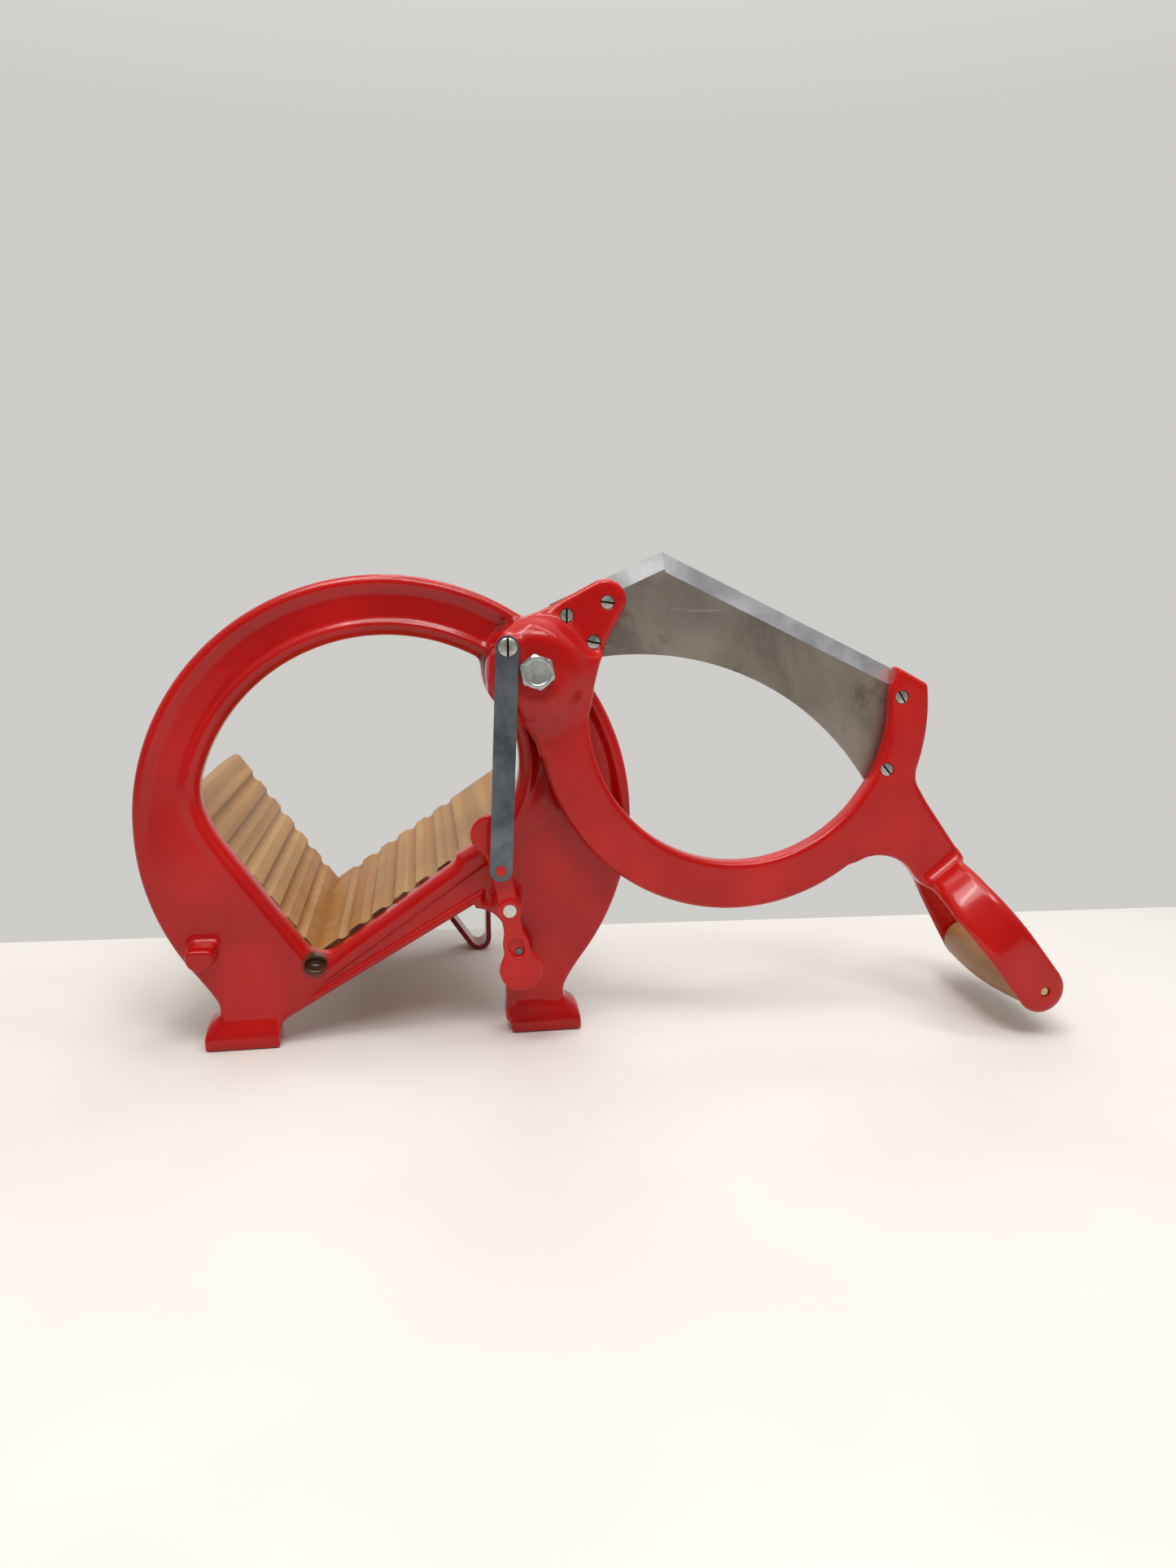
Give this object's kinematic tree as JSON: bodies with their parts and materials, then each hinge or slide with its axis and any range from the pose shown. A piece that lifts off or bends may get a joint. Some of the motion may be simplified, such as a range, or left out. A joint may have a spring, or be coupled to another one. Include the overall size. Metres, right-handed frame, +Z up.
{
  "type": "hand lever food slicer",
  "caption": "Cast ring frame with a grooved wooden trough, a swinging guillotine blade on a lever with a stirrup handle, and a linked gauge rocker.",
  "frame": {"origin": "middle of the object's box, at the table's surface, with the lever open", "axes": "+Z up; +X to the side where the open lever lies; the user stands at -Y and the trough runs back along +Y"},
  "size_m": [0.5702, 0.271, 0.3029],
  "materials": {
    "red_enamel": "glossy enamel over cast iron with slight orange peel",
    "dark_red_enamel": "glossy enamel on bent strap",
    "red_enamel_arm": "glossy enamel over fettled cast iron",
    "beech": "oiled laminated beech",
    "grip_wood": "turned beech, worn satin",
    "zinc": "zinc plated",
    "zinc_bolt": "zinc plated, slightly dulled",
    "nickel_screw": "nickel plated, slots dirty",
    "pale_steel": "bare pin end",
    "spring_steel": "blued strip with scratches",
    "blade_steel": "grey mottled steel with a bright ground bevel",
    "bronze": "plain bearing bronze"
  },
  "bodies": {
    "base": {"frame": "red_enamel", "left_board": "beech", "right_board": "beech", "left_board_screws": "zinc", "right_board_screws": "zinc", "apex_screws": "zinc", "rear_leg": "dark_red_enamel", "rear_leg_screws": "zinc", "pivot_bolt": "zinc_bolt", "thrust_washer": "spring_steel", "pivot_nut": "zinc", "nut_washer": "zinc", "gauge_pin": "pale_steel", "gauge_washer": "zinc"},
    "lever": {"arm": "red_enamel_arm", "blade": "blade_steel", "heel_screws": "nickel_screw", "toe_screws": "nickel_screw", "pivot_bush": "bronze", "grip_rod": "bronze", "grip_washers": "zinc", "link_screw": "nickel_screw", "link_spacer": "spring_steel"},
    "link": {"link_bar": "spring_steel", "link_pin": "red_enamel_arm"},
    "rocker": {"gauge": "red_enamel_arm", "gauge_stop_pin": "spring_steel"},
    "handgrip": {"grip": "grip_wood"}
  },
  "joints": [
    {"name": "arm_swing", "type": "hinge", "parent": "base", "child": "lever", "pos_m": [-0.04515, -0.0845, 0.2333], "axis": [0, -1, 0], "range_deg": [0, 235.8]},
    {"name": "link_swing", "type": "hinge", "parent": "lever", "child": "link", "pos_m": [-0.06215, -0.0993, 0.248], "axis": [0, -1, 0], "range_deg": [-254.5, 0]},
    {"name": "gauge_tilt", "type": "hinge", "parent": "base", "child": "rocker", "pos_m": [-0.06315, -0.0935, 0.0886], "axis": [0, -1, 0], "range_deg": [0, 89.5]},
    {"name": "grip_spin", "type": "hinge", "parent": "lever", "child": "handgrip", "pos_m": [0.26865, -0.0755, 0.0311], "axis": [0, 1, 0], "continuous": true}
  ],
  "couplings": [
    {"joint": "link_swing", "follows": "arm_swing", "ratio": -1.0756}
  ]
}
